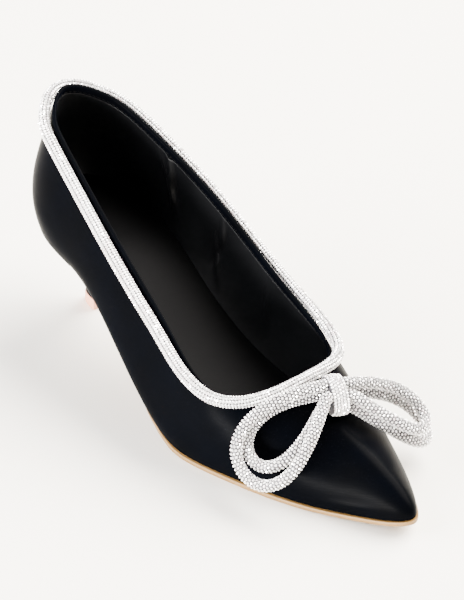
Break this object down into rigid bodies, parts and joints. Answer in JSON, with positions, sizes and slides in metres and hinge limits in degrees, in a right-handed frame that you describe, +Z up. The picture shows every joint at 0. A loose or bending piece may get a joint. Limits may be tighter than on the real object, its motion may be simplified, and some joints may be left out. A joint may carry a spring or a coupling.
{
  "type": "kitten heel court shoe",
  "caption": "Pointed court shoe with a slim kitten heel, a hollow satin upper, a tan sole, a crystal rope round the topline and a bow of crystal rope on the vamp.",
  "frame": {"origin": "middle of the shoe's box seen from above, on the floor that it stands on", "axes": "+X towards the toe, +Y towards the inner (big toe) side of a right shoe, +Z up"},
  "size_m": [0.25, 0.095, 0.11],
  "materials": {
    "satin": "black satin with a soft sheen",
    "heel_cover": "black satin drawn over a moulded heel",
    "top_piece": "matt tan",
    "sole_leather": "smooth tan, lightly polished edge",
    "sock": "smooth black lining leather",
    "crystal": "small clear faceted stones on a silver rope"
  },
  "bodies": {
    "root": {"upper": "satin", "heel": "heel_cover", "heel_tip": "top_piece", "outsole": "sole_leather", "insole": "sock", "topline_piping": "crystal", "bow_knot": "crystal", "bow_loop_outer_upper": "crystal", "bow_loop_outer_lower": "crystal", "bow_loop_inner_upper": "crystal", "bow_loop_inner_lower": "crystal"}
  },
  "joints": []
}
